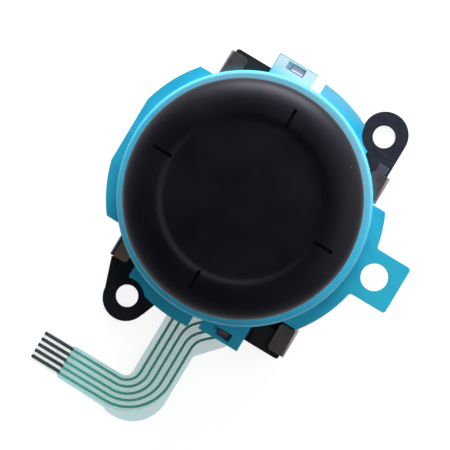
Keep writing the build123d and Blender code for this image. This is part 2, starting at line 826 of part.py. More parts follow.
# Slider on the +X side, moved along Y by the arm of the ring rocker
slider_near = bay_x + 0.90
keel_near = bay_x + rail_in + slide_fit
keel_far = bay_x + bay_depth - rail_out - slide_fit
with BuildPart() as slider_y:
    with BuildSketch(Plane.XY.offset(slider_low)):
        with Locations((slider_near + slider_wide / 2, 0)):
            RectangleRounded(slider_wide, slider_long, 0.15)
    extrude(amount=slider_top - slider_low)
    with BuildSketch(Plane.XY.offset(keel_low)):
        with Locations(((keel_near + keel_far) / 2, 0)):
            Rectangle(keel_far - keel_near, slider_long)
    extrude(amount=slider_low - keel_low)
    with BuildSketch(Plane.XY.offset(slider_low + 0.10)):
        with Locations((slider_near + 0.30, 0)):
            Rectangle(1.10, 2 * (arm_pin + bearing_fit))
    extrude(amount=slider_top, mode=Mode.SUBTRACT)
slider_y.part.label = "slider_y"
export_step(slider_y.part, "parts/slider_y.step")


# Slider on the -Y side, moved along X by the arm of the arch rocker
slider_front = -(bay_y + 0.90)
keel_front = -(bay_y + rail_in + slide_fit)
keel_back = -(bay_y + bay_depth - rail_out - slide_fit)
with BuildPart() as slider_x:
    with BuildSketch(Plane.XY.offset(slider_low)):
        with Locations((0, slider_front - slider_wide / 2)):
            RectangleRounded(slider_long, slider_wide, 0.15)
    extrude(amount=slider_top - slider_low)
    with BuildSketch(Plane.XY.offset(keel_low)):
        with Locations((0, (keel_front + keel_back) / 2)):
            Rectangle(slider_long, keel_front - keel_back)
    extrude(amount=slider_low - keel_low)
    with BuildSketch(Plane.XY.offset(slider_low + 0.10)):
        with Locations((0, slider_front - 0.30)):
            Rectangle(2 * (arm_pin + bearing_fit), 1.10)
    extrude(amount=slider_top, mode=Mode.SUBTRACT)
slider_x.part.label = "slider_x"
export_step(slider_x.part, "parts/slider_x.step")


# Wiper under the +X slider: a sprung leaf with two contact fingers
leaf_thick = 0.06
leaf_half = 1.50
leaf_bend = 1.15
leaf_split = 0.40
leaf_touch = film_top + 0.05
leaf_z = keel_low - leaf_thick / 2
with BuildPart() as wiper_y:
    with BuildSketch(Plane.YZ.offset(keel_near + 0.10)) as leaf_side:
        with BuildLine() as leaf_line:
            Polyline(
                (-leaf_half, leaf_z),
                (0, leaf_z),
                (leaf_bend, leaf_touch),
                (leaf_half, leaf_touch + leaf_thick),
            )
        trace(leaf_line.line, leaf_thick)
    extrude(amount=keel_far - keel_near - 0.20)
    with BuildSketch(Plane.XY.offset(film_top)):
        keel_mid = (keel_near + keel_far) / 2
        span(keel_mid - leaf_split / 2, keel_mid + leaf_split / 2, 0, leaf_half + 0.1)
    extrude(amount=keel_low - film_top + 0.2, mode=Mode.SUBTRACT)
wiper_y.part.label = "wiper_y"
export_step(wiper_y.part, "parts/wiper_y.step")


# Wiper under the -Y slider
with BuildPart() as wiper_x:
    with BuildSketch(Plane.XZ.offset(-keel_front + 0.10)):
        with BuildLine() as leaf_line:
            Polyline(
                (-leaf_half, leaf_z),
                (0, leaf_z),
                (leaf_bend, leaf_touch),
                (leaf_half, leaf_touch + leaf_thick),
            )
        trace(leaf_line.line, leaf_thick)
    extrude(amount=keel_front - keel_back - 0.20)
    with BuildSketch(Plane.XY.offset(film_top)):
        keel_mid = (keel_front + keel_back) / 2
        span(0, leaf_half + 0.1, keel_mid - leaf_split / 2, keel_mid + leaf_split / 2)
    extrude(amount=keel_low - film_top + 0.2, mode=Mode.SUBTRACT)
wiper_x.part.label = "wiper_x"
export_step(wiper_x.part, "parts/wiper_x.step")
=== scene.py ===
"""Looks of the analog stick module: cover, cap, base, film circuit, mechanism and studio."""

import json
import logging
import math
from dataclasses import dataclass
from enum import Enum
from typing import Callable

import bmesh
import bpy
from bpy.types import Material, Node, NodeSocket, NodeTree, Object
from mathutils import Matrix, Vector

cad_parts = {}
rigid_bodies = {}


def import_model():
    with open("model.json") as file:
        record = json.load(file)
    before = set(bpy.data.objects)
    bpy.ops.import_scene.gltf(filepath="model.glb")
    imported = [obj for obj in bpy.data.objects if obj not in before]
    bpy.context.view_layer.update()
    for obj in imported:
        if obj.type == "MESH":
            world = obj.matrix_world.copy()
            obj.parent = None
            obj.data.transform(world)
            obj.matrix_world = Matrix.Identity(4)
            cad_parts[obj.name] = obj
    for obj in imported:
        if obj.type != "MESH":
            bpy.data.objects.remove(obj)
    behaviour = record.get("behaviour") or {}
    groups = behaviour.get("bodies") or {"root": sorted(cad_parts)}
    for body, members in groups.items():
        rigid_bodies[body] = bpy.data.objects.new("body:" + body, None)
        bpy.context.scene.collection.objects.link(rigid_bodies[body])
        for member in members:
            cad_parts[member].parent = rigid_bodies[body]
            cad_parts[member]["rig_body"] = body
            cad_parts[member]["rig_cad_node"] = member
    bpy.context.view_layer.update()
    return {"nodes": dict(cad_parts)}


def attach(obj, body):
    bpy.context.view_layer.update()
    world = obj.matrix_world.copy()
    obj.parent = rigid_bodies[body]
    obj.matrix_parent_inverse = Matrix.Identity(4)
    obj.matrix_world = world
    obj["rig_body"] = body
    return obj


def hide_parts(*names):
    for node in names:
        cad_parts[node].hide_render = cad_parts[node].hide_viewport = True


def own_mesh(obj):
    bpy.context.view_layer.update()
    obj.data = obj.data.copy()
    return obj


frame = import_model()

MM = 0.001
WELD = 0.002 * MM  # points nearer than this are merged
NEAR = 1e-6  # metres within which two places count as one
log = logging.getLogger("stick_module")

Colour = tuple[float, float, float]
Flat = tuple[float, float]
Solid = tuple[float, float, float]
Cells = float | tuple[float, float, float]


class Body(Enum):
    """Moving groups of the module that a piece can ride on."""

    MODULE = "module"
    STICK = "stick"


class Slot(Enum):
    """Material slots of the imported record."""

    STEEL = "plated_steel"
    SPRING = "spring_steel"
    FILM = "circuit_film"
    CLEAR = "clear_film"
    BLACK = "black_moulding"
    BLUE = "blue_moulding"
    SKIN = "soft_skin"


def linear(red: int, green: int, blue: int) -> Colour:
    """Turns a colour of 0 to 255 per channel into Blender's linear colour.

    Args:
        red: Red channel.
        green: Green channel.
        blue: Blue channel.

    Returns:
        The three linear channels.
    """
    shares = [channel / 255 for channel in (red, green, blue)]
    return tuple(s / 12.92 if s <= 0.04045 else ((s + 0.055) / 1.055) ** 2.4 for s in shares)


def add_node(tree: NodeTree, kind: str, *inputs: object, **settings: object) -> Node:
    """Adds a node with its inputs and its plain properties.

    Args:
        tree: Node tree of a material or of the surroundings.
        kind: Blender's name of the node type.
        inputs: For each input in turn a socket to link, a constant, or None to leave it.
        settings: Properties of the node.

    Returns:
        The new node.
    """
    made = tree.nodes.new(kind)
    for key, value in settings.items():
        setattr(made, key, value)
    for index, value in enumerate(inputs):
        if isinstance(value, NodeSocket):
            tree.links.new(value, made.inputs[index])
        elif value is not None:
            made.inputs[index].default_value = value
    return made


class Board:
    """Node tree of one material, with short calls for the nodes that the finishes share."""

    def __init__(self, name: str) -> None:
        """Opens an empty material with a Principled shader on its output.

        Args:
            name: Name of the material.
        """
        self.material = bpy.data.materials.new(name)
        self.material.use_nodes = True
        self.tree = self.material.node_tree
        self.tree.nodes.clear()
        self.shader = add_node(self.tree, "ShaderNodeBsdfPrincipled")
        add_node(self.tree, "ShaderNodeOutputMaterial", self.shader.outputs["BSDF"])
        self._bump: Node | None = None

    def wire(self, source: NodeSocket, target: NodeSocket) -> None:
        """Links two sockets."""
        self.tree.links.new(source, target)

    def shade(self, **values: object) -> None:
        """Sets constants directly on the shader's sockets.

        Args:
            values: Socket names with underscores in place of spaces, and their values.
        """
        for key, value in values.items():
            socket = self.shader.inputs[key.replace("_", " ")]
            socket.default_value = (*value, 1.0) if isinstance(value, tuple) else value

    def coords(self, cells: Cells) -> NodeSocket:
        """Object coordinates in pattern cells.

        Args:
            cells: Cells per millimetre, for all axes or along X, Y and Z.

        Returns:
            The vector socket.
        """
        scale = [count / MM for count in (cells if isinstance(cells, tuple) else (cells,) * 3)]
        place = add_node(self.tree, "ShaderNodeTexCoord").outputs["Object"]
        mapping = add_node(self.tree, "ShaderNodeMapping", place)
        mapping.inputs["Scale"].default_value = scale
        return mapping.outputs["Vector"]

    def noise(self, cells: Cells, detail: float = 3.0, rough: float = 0.5) -> NodeSocket:
        """Noise on Object coordinates.

        Args:
            cells: Cells per millimetre, for all axes or along X, Y and Z.
            detail: Number of finer layers.
            rough: Strength of the finer layers.

        Returns:
            The socket with the noise value.
        """
        made = add_node(self.tree, "ShaderNodeTexNoise", self.coords(cells))
        for name, number in (("Scale", 1.0), ("Detail", detail), ("Roughness", rough)):
            made.inputs[name].default_value = number
        return made.outputs["Fac"]

    def specks(self, cell_mm: float) -> NodeSocket:
        """Distance to the nearest of many scattered points, one to a cell."""
        made = add_node(self.tree, "ShaderNodeTexVoronoi", self.coords(1 / cell_mm), feature="F1")
        made.inputs["Scale"].default_value = 1.0
        return made.outputs["Distance"]

    def remap(self, value: NodeSocket, low: float, high: float,
              to_low: float = 0.0, to_high: float = 1.0) -> NodeSocket:
        """Maps one stretch of a value on another, eased and held at both ends.

        Args:
            value: The socket that is read.
            low: Start of the stretch.
            high: End of the stretch.
            to_low: Result at its start.
            to_high: Result at its end.

        Returns:
            The socket with the result.
        """
        return add_node(self.tree, "ShaderNodeMapRange", value, low, high, to_low, to_high,
                        interpolation_type="SMOOTHSTEP").outputs[0]

    def mix(self, factor: NodeSocket, first: Colour | NodeSocket,
            second: Colour | NodeSocket) -> NodeSocket:
        """Mixes two colours by a factor.

        Args:
            factor: The socket with the share of the second colour.
            first: Colour, or socket, at factor 0.
            second: Colour, or socket, at factor 1.

        Returns:
            The socket with the mixed colour.
        """
        made = add_node(self.tree, "ShaderNodeMix", factor, data_type="RGBA")
        for index, colour in ((6, first), (7, second)):
            if isinstance(colour, tuple):
                made.inputs[index].default_value = (*colour, 1.0)
            else:
                self.wire(colour, made.inputs[index])
        return made.outputs[2]

    def blend(self, pattern: NodeSocket, low: float, high: float,
              first: Colour, second: Colour) -> NodeSocket:
        """Mixes two colours by a pattern.

        Args:
            pattern: The socket with the pattern.
            low: Value up to which the first colour shows alone.
            high: Value from which the second colour does.
            first: First colour.
            second: Second colour.

        Returns:
            The socket with the mixed colour.
        """
        return self.mix(self.remap(pattern, low, high), first, second)

    def times(self, first: NodeSocket, second: NodeSocket | float) -> NodeSocket:
        """Product of two values."""
        made = add_node(self.tree, "ShaderNodeMath", first, second, operation="MULTIPLY")
        return made.outputs[0]

    def along(self, axis: str) -> NodeSocket:
        """Place along "X", "Y" or "Z" in millimetres."""
        return add_node(self.tree, "ShaderNodeSeparateXYZ", self.coords(1)).outputs[axis]

    def step(self, axis: str, start: float, end: float) -> NodeSocket:
        """Share that rises from 0 to 1 between two places along an axis, given in millimetres.

        Args:
            axis: "X", "Y" or "Z".
            start: Place where the share is 0.
            end: Place where it is 1, which may lie before the start.

        Returns:
            The socket with the share.
        """
        if start < end:
            return self.remap(self.along(axis), start, end)
        return self.remap(self.along(axis), end, start, 1.0, 0.0)

    def radius(self) -> NodeSocket:
        """Distance from the stick's axis in millimetres."""
        flat = self.coords((1, 1, 0))
        made = add_node(self.tree, "ShaderNodeVectorMath", flat, operation="LENGTH")
        return made.outputs["Value"]

    def colour(self, socket: NodeSocket) -> None:
        """Feeds the base colour."""
        self.wire(socket, self.shader.inputs["Base Color"])

    def roughness(self, pattern: NodeSocket, low: float, high: float) -> None:
        """Feeds the roughness from a pattern.

        Args:
            pattern: The socket with the pattern.
            low: Roughness where the pattern is low.
            high: Roughness where it is high.
        """
        self.wire(self.remap(pattern, 0.3, 0.7, low, high), self.shader.inputs["Roughness"])

    def top_alpha(self, level: float, margin: float, share: NodeSocket | float) -> None:
        """Lets a thin film cover only with its top face, so that its two faces don't count twice.

        Args:
            level: Height of the top face in millimetres.
            margin: How far below it the film is already clear.
            share: Opacity of the top face.
        """
        top = self.step("Z", level - margin, level - margin / 3)
        self.wire(self.times(top, share), self.shader.inputs["Alpha"])

    def bump(self, value: NodeSocket, depth_mm: float, strength: float = 1.0) -> None:
        """Adds a relief on top of those already there.

        Args:
            value: Height pattern from 0 to 1.
            depth_mm: Depth of the relief in millimetres.
            strength: Share of the relief that shows.
        """
        made = add_node(self.tree, "ShaderNodeBump")
        made.inputs["Distance"].default_value = depth_mm * MM
        made.inputs["Strength"].default_value = strength
        self.wire(value, made.inputs["Height"])
        if self._bump is not None:
            self.wire(self._bump.outputs["Normal"], made.inputs["Normal"])
        self.wire(made.outputs["Normal"], self.shader.inputs["Normal"])
        self._bump = made


@dataclass(frozen=True)
class SoftSkin:
    """Soft-touch black skin of the cap, with a fine grain, worn patches and a little lint."""

    base: Colour = linear(2, 1, 6)
    worn: Colour = linear(5, 4, 10)
    lint: Colour = linear(120, 112, 122)
    grain_mm: float = 0.07
    lint_cell_mm: float = 1.1
    lint_from_mm: float = 6.5

    def material(self) -> Material:
        """Builds the material."""
        board = Board("soft_touch_black")
        broad = board.noise(0.28, 2.0)
        skin = board.blend(broad, 0.38, 0.68, self.base, self.worn)
        lint_size = board.remap(board.specks(self.lint_cell_mm), 0.020, 0.034, 1.0, 0.0)
        keep = board.remap(board.noise(0.9, 0.0), 0.55, 0.60)
        crown = board.remap(board.radius(), self.lint_from_mm, self.lint_from_mm + 0.2)
        board.colour(board.mix(board.times(board.times(lint_size, keep), crown), skin, self.lint))
        board.roughness(broad, 0.42, 0.48)
        board.bump(board.noise(1 / self.grain_mm, 2.0), 0.004, 0.35)
        board.bump(board.noise(1.2, 2.0), 0.008, 0.2)
        board.shade(Specular_IOR_Level=0.38, IOR=1.45, Specular_Tint=(0.82, 0.79, 1.0),
                    Sheen_Weight=0.12, Sheen_Roughness=0.35, Sheen_Tint=(0.80, 0.76, 0.88))
        return board.material


@dataclass(frozen=True)
class BlueMoulding:
    """Bright blue injection moulding of the cover, lightly textured, with faint flow marks,
    painted light on the rim and a painted glare on the back clip.
    """

    base: Colour = linear(54, 190, 224)
    deep: Colour = linear(43, 181, 217)
    edge: Colour = linear(104, 214, 242)
    # Rim band above its foot: painted light, paler than the flange and lighter still towards +Y,
    # the key lamp's side
    rim: Colour = linear(70, 200, 244)
    rim_painted_light: Colour = linear(132, 212, 240)
    # Painted highlight along the rim's outer top edge
    rim_edge_highlight: Colour = linear(98, 206, 238)
    # Near-white painted glare on the back clip
    clip_glare: Colour = linear(222, 246, 252)
    rim_foot_mm: float = 5.10
    rim_highlight_radius_mm: float = 9.12
    # Place of the painted glare on the back clip, in millimetres
    glare_from_mm: float = 8.30
    glare_to_mm: float = 10.10
    glare_side_mm: float = -3.12
    glare_end_mm: float = 10.34

    def material(self) -> Material:
        """Builds the material."""
        board = Board("blue_moulding")
        flow = board.noise((0.22, 0.55, 0.4), 3.0, 0.45)
        body = board.blend(flow, 0.35, 0.66, self.base, self.deep)
        scuff = board.noise((0.6, 6.0, 2.0), 4.0, 0.6)
        body = board.mix(board.remap(scuff, 0.66, 0.80, 0.0, 0.5), body, self.edge)
        # Painted glare: the back clip's outer end is washed towards near-white and fades towards
        # +X
        glare_fade = board.remap(board.along("X"), 0.30, 0.60, 0.95, 0.25)
        clip_glare = board.times(glare_fade, board.step("Y", self.glare_from_mm, self.glare_to_mm))
        clip_glare = board.times(clip_glare, board.step("X", self.glare_side_mm - 0.06, self.glare_side_mm))
        clip_glare = board.times(clip_glare, board.step("Y", self.glare_end_mm, self.glare_end_mm - 0.04))
        body = board.mix(clip_glare, body, self.clip_glare)
        # Painted light on the rim band: paler than the flange, lighter towards +Y
        high = board.step("Z", self.rim_foot_mm, self.rim_foot_mm + 0.3)
        painted_light_rim_band = board.mix(board.step("Y", 0.0, 8.0), self.rim, self.rim_painted_light)
        body = board.mix(high, body, painted_light_rim_band)
        # Painted highlight: a thin light line round the rim's outer top edge
        outer = board.remap(board.radius(), self.rim_highlight_radius_mm - 0.03, self.rim_highlight_radius_mm + 0.03)
        line = board.times(high, outer)
        board.colour(board.mix(line, body, self.rim_edge_highlight))
        board.roughness(flow, 0.34, 0.46)
        board.bump(board.noise(13, 2.0), 0.004, 0.35)
        board.shade(Specular_IOR_Level=0.36, Subsurface_Weight=0.12, Subsurface_Scale=0.0006,
                    IOR=1.5)
        board.shader.inputs["Subsurface Radius"].default_value = (0.35, 0.9, 1.0)
        return board.material


@dataclass(frozen=True)
class PlatedSteel:
    """Dark plated steel sheet: bluish when flat and darker towards the front as painted shade,
    greyer where folded, and brown at one tab.
    """

    name: str = "plated_steel"
    sheet: Colour = linear(106, 111, 131)
    # Darker sheet colour towards the front: painted shade
    front: Colour = linear(82, 88, 100)
    folded: Colour = linear(162, 152, 156)
    browned: Colour = linear(250, 206, 180)
    bare: Colour = linear(170, 166, 168)
    fold_from_mm: float = 3.60
    fold_height_mm: float = 4.05
    brown_from_mm: float = 4.34
    brown_height_mm: float = 4.48
    brown_side_mm: float = -6.14

    def material(self) -> Material:
        """Builds the material."""
        board = Board(self.name)
        # Painted shade: the sheet darkens towards the front (-Y), away from the key lamp
        flat = board.mix(board.step("Y", 4.0, -8.0), self.sheet, self.front)
        corner = board.times(board.step("X", -3.0, -5.0), board.step("Y", -5.0, -6.2))
        fold = board.step("Z", self.fold_from_mm, self.fold_height_mm)
        tint = board.mix(fold, flat, self.folded)
        top = board.step("Z", self.brown_from_mm, self.brown_height_mm)
        brown = board.mix(top, flat, self.browned)
        inside = board.step("X", self.brown_side_mm, self.brown_side_mm + 0.12)
        tint = board.mix(corner, tint, board.mix(inside, flat, brown))
        lines = board.noise((1.1, 24, 2.0), 3.0, 0.6)
        spots = board.noise(1.8, 4.0, 0.65)
        board.colour(board.mix(board.remap(spots, 0.62, 0.76, 0.0, 0.45), tint, self.bare))
        board.roughness(lines, 0.30, 0.44)
        board.bump(lines, 0.004, 0.30)
        board.bump(spots, 0.006, 0.20)
        board.shade(Metallic=1.0)
        return board.material


@dataclass(frozen=True)
class BlackMoulding:
    """Black glass-filled moulding with a spark-eroded surface, faint fibre lines and a painted
    highlight on its lug tops, brighter at the back.
    """

    name: str = "black_moulding"
    base: Colour = linear(27, 28, 31)
    fibre: Colour = linear(42, 42, 45)
    # Painted highlight on the lug tops: bright at the back lug, dimmer at the front lug
    lug_highlight_back: Colour = linear(248, 232, 246)
    lug_highlight_front: Colour = linear(142, 118, 122)
    lug_highlight_from_mm: float = 4.30

    def material(self) -> Material:
        """Builds the material."""
        board = Board(self.name)
        fibres = board.noise((3.0, 11.0, 5.0), 3.0, 0.6)
        body = board.blend(fibres, 0.58, 0.78, self.base, self.fibre)
        # Painted highlight on the lug tops, brighter towards +Y
        lug_highlight = board.mix(board.step("Y", -1.0, 1.0), self.lug_highlight_front, self.lug_highlight_back)
        lugs = board.step("Z", self.lug_highlight_from_mm, self.lug_highlight_from_mm + 0.1)
        board.colour(board.mix(lugs, body, lug_highlight))
        board.roughness(board.noise(0.5), 0.40, 0.54)
        board.bump(board.noise(16, 2.0), 0.006, 0.45)
        board.shade(Specular_IOR_Level=0.45)
        return board.material


@dataclass(frozen=True)
class CircuitFilm:
    """Pale translucent polyester film of the circuit."""

    base: Colour = linear(6, 232, 246)
    cloudy: Colour = linear(26, 236, 246)
    bare: Colour = linear(190, 232, 236)
    bare_end_mm: float = -5.21
    top_mm: float = 0.45

    def material(self) -> Material:
        """Builds the material."""
        board = Board("circuit_film")
        cloud = board.noise(0.35, 3.0)
        body = board.blend(cloud, 0.35, 0.65, self.base, self.cloudy)
        bare = board.step("X", self.bare_end_mm, self.bare_end_mm - 0.1)
        board.colour(board.mix(bare, body, self.bare))
        board.roughness(cloud, 0.30, 0.42)
        board.bump(board.noise(2.0, 2.0), 0.006, 0.2)
        board.top_alpha(self.top_mm, 0.05, board.remap(bare, 0.0, 1.0, 0.50, 0.22))
        board.shade(Specular_IOR_Level=0.4)
        return board.material


@dataclass(frozen=True)
class PrintedInk:
    """Ink printed on the film: traces, contact fingers, carbon tracks or the clear cover print."""

    name: str
    base: Colour
    thin: Colour
    rough: float = 0.5
    alpha: float = 1.0
    top_mm: float = 0.0

    def material(self) -> Material:
        """Builds the material."""
        board = Board(self.name)
        mesh = board.noise(7, 3.0, 0.6)
        board.colour(board.blend(mesh, 0.42, 0.70, self.base, self.thin))
        board.roughness(mesh, self.rough - 0.05, self.rough + 0.08)
        board.bump(mesh, 0.003, 0.3)
        board.shade(Specular_IOR_Level=0.35)
        if self.alpha < 1:
            board.top_alpha(self.top_mm, 0.005, self.alpha)
        return board.material


@dataclass(frozen=True)
class ClearFilm:
    """Clear polyester of the stiffener and of the film over the dome."""

    base: Colour = linear(206, 214, 214)
    haze: Colour = linear(224, 228, 226)

    def material(self) -> Material:
        """Builds the material."""
        board = Board("clear_film")
        haze = board.noise(0.8, 3.0)
        board.colour(board.blend(haze, 0.35, 0.7, self.base, self.haze))
        board.roughness(haze, 0.18, 0.30)
        board.bump(haze, 0.004, 0.2)
        board.shade(Alpha=0.06)
        return board.material


@dataclass(frozen=True)
class Acetal:
    """Waxy white acetal of the rockers and sliders."""

    base: Colour = linear(226, 225, 218)
    shade: Colour = linear(212, 210, 200)

    def material(self) -> Material:
        """Builds the material."""
        board = Board("white_acetal")
        flow = board.noise((0.9, 0.9, 0.5), 3.0)
        board.colour(board.blend(flow, 0.4, 0.7, self.base, self.shade))
        board.roughness(flow, 0.30, 0.42)
        board.bump(board.noise(15, 2.0), 0.003, 0.3)
        board.shade(Subsurface_Weight=0.2, Subsurface_Scale=0.0005)
        return board.material


@dataclass(frozen=True)
class BrightMetal:
    """Bright drawn or rolled metal: spring wire, snap dome and gilt contact leaves."""

    name: str
    base: Colour
    shade: Colour
    rough: float = 0.24

    def material(self) -> Material:
        """Builds the material."""
        board = Board(self.name)
        drawn = board.noise((4.0, 4.0, 22.0), 3.0, 0.6)
        board.colour(board.blend(drawn, 0.35, 0.7, self.base, self.shade))
        board.roughness(drawn, self.rough - 0.05, self.rough + 0.08)
        board.bump(drawn, 0.002, 0.3)
        board.shade(Metallic=1.0)
        return board.material


class Bench:
    """Workbench: mesh steps by operator, shared by all the pieces."""

    @staticmethod
    def clear() -> None:
        """Leaves edit mode and deselects everything."""
        if bpy.context.object is not None and bpy.context.object.mode != "OBJECT":
            bpy.ops.object.mode_set(mode="OBJECT")
        bpy.ops.object.select_all(action="DESELECT")

    @staticmethod
    def hold(piece: Object) -> None:
        """Makes one object the only selected and active one."""
        Bench.clear()
        piece.select_set(True)
        bpy.context.view_layer.objects.active = piece

    @staticmethod
    def settle(piece: Object) -> None:
        """Puts the object's place, turn and size in its mesh."""
        Bench.hold(piece)
        bpy.ops.object.transform_apply(location=True, rotation=True, scale=True)

    @staticmethod
    def pick(piece: Object, kind: str, wanted: Callable[[Vector], bool]) -> None:
        """Selects faces or edges by their middle, and stays in edit mode.

        Args:
            piece: Object that is edited.
            kind: "FACE" or "EDGE".
            wanted: Test on the middle, in metres.
        """
        Bench.hold(piece)
        bpy.ops.object.mode_set(mode="EDIT")
        bpy.ops.mesh.select_all(action="DESELECT")
        bpy.ops.mesh.select_mode(type=kind)
        shape = bmesh.from_edit_mesh(piece.data)
        for element in shape.edges if kind == "EDGE" else shape.faces:
            corners = [vertex.co for vertex in element.verts]
            element.select = wanted(sum(corners, Vector()) / len(corners))
        shape.select_flush_mode()
        bmesh.update_edit_mesh(piece.data)

    @staticmethod
    def modifier(piece: Object, kind: str, **settings: object) -> None:
        """Adds a modifier and applies it at once.

        Args:
            piece: Object that gets it.
            kind: Blender's name of the modifier type.
            settings: Properties of the modifier.
        """
        Bench.hold(piece)
        made = piece.modifiers.new(kind.lower(), kind)
        for key, value in settings.items():
            setattr(made, key, value)
        bpy.ops.object.modifier_apply(modifier=made.name)

    @staticmethod
    def smooth(piece: Object, degrees: float = 35.0) -> None:
        """Shades the piece smooth up to an angle."""
        Bench.hold(piece)
        bpy.ops.object.shade_smooth_by_angle(angle=math.radians(degrees))

    @staticmethod
    def dress(piece: Object, material: Material) -> None:
        """Gives the object one material."""
        piece.data.materials.clear()
        piece.data.materials.append(material)

    @staticmethod
    def place(piece: Object, material: Material, slot: Slot, body: Body = Body.MODULE) -> None:
        """Dresses a finished piece and lets it ride on its body.

        Args:
            piece: The finished piece.
            material: Its material.
            slot: Not used.
            body: The body that it moves with.
        """
        Bench.dress(piece, material)
        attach(piece, body.value)
        log.info("%s rides on %s, %d faces", piece.name, body.value, len(piece.data.polygons))

    @staticmethod
    def slab(name: str, middle: Solid, size: Solid, degrees: float = 0.0) -> Object:
        """Adds a box with its place and size in its mesh.

        Args:
            name: Name of the piece.
            middle: Middle of the box in millimetres.
            size: Lengths along X, Y and Z in millimetres.
            degrees: Turn round the upright axis.

        Returns:
            The box.
        """
        Bench.clear()
        bpy.ops.mesh.primitive_cube_add(
            size=1, location=Vector(middle) * MM, rotation=(0, 0, math.radians(degrees))
        )
        box = bpy.context.object
        box.name = name
        box.scale = Vector(size) * MM
        Bench.settle(box)
        return box

    @staticmethod
    def round_uprights(box: Object, radius: float) -> None:
        """Rounds the four upright edges of a box, to a radius in millimetres."""
        level = sum(vertex.co.z for vertex in box.data.vertices) / len(box.data.vertices)
        Bench.pick(box, "EDGE", lambda middle: abs(middle.z - level) < NEAR)
        bpy.ops.mesh.bevel(offset=radius * MM, offset_type="OFFSET", segments=5, affect="EDGES")
        bpy.ops.object.mode_set(mode="OBJECT")

    @staticmethod
    def twin(node: str, name: str) -> Object:
        """Copy of a CAD node with its own mesh.

        Args:
            node: Name of the CAD node.
            name: Name of the new piece.

        Returns:
            The new piece.
        """
        Bench.hold(frame["nodes"][node])
        bpy.ops.object.duplicate()
        piece = bpy.context.object
        piece.name = name
        piece.parent = None
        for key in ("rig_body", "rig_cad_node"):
            if key in piece:
                del piece[key]
        Bench.hold(piece)
        return piece

    @staticmethod
    def pressed(node: str, name: str, foot_mm: float, keep: float) -> Object:
        """Copy of a springy CAD node with its own mesh, which then stands for the node.

        Args:
            node: Name of the CAD node.
            name: Name of the new piece.
            foot_mm: Not used.
            keep: Not used.

        Returns:
            The new piece.
        """
        piece = Bench.twin(node, name)
        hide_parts(node)
        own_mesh(piece)
        return piece

    @staticmethod
    def softened(node: str, name: str, width_mm: float, steps: int = 2,
                 limit: float = 32.0) -> Object:
        """Copy of a CAD node with its sharp edges rounded, which then stands for the node.

        Args:
            node: Name of the CAD node.
            name: Name of the new piece.
            width_mm: Width of the rounding in millimetres.
            steps: Faces across the rounding.
            limit: Least angle of an edge that is rounded, in degrees.

        Returns:
            The new piece.
        """
        piece = Bench.twin(node, name)
        bpy.ops.object.mode_set(mode="EDIT")
        bpy.ops.mesh.select_all(action="SELECT")
        bpy.ops.mesh.customdata_custom_splitnormals_clear()
        bpy.ops.mesh.remove_doubles(threshold=WELD)
        bpy.ops.mesh.dissolve_limited(angle_limit=math.radians(1.0))
        bpy.ops.object.mode_set(mode="OBJECT")
        Bench.modifier(piece, "BEVEL", width=width_mm * MM, segments=steps,
                       limit_method="ANGLE", angle_limit=math.radians(limit),
                       offset_type="OFFSET", use_clamp_overlap=True,
                       miter_outer="MITER_ARC", harden_normals=False)
        Bench.smooth(piece, 30.0)
        Bench.modifier(piece, "WEIGHTED_NORMAL", mode="FACE_AREA_WITH_ANGLE", keep_sharp=True,
                       weight=50, thresh=0.01)
        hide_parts(node)
        return piece


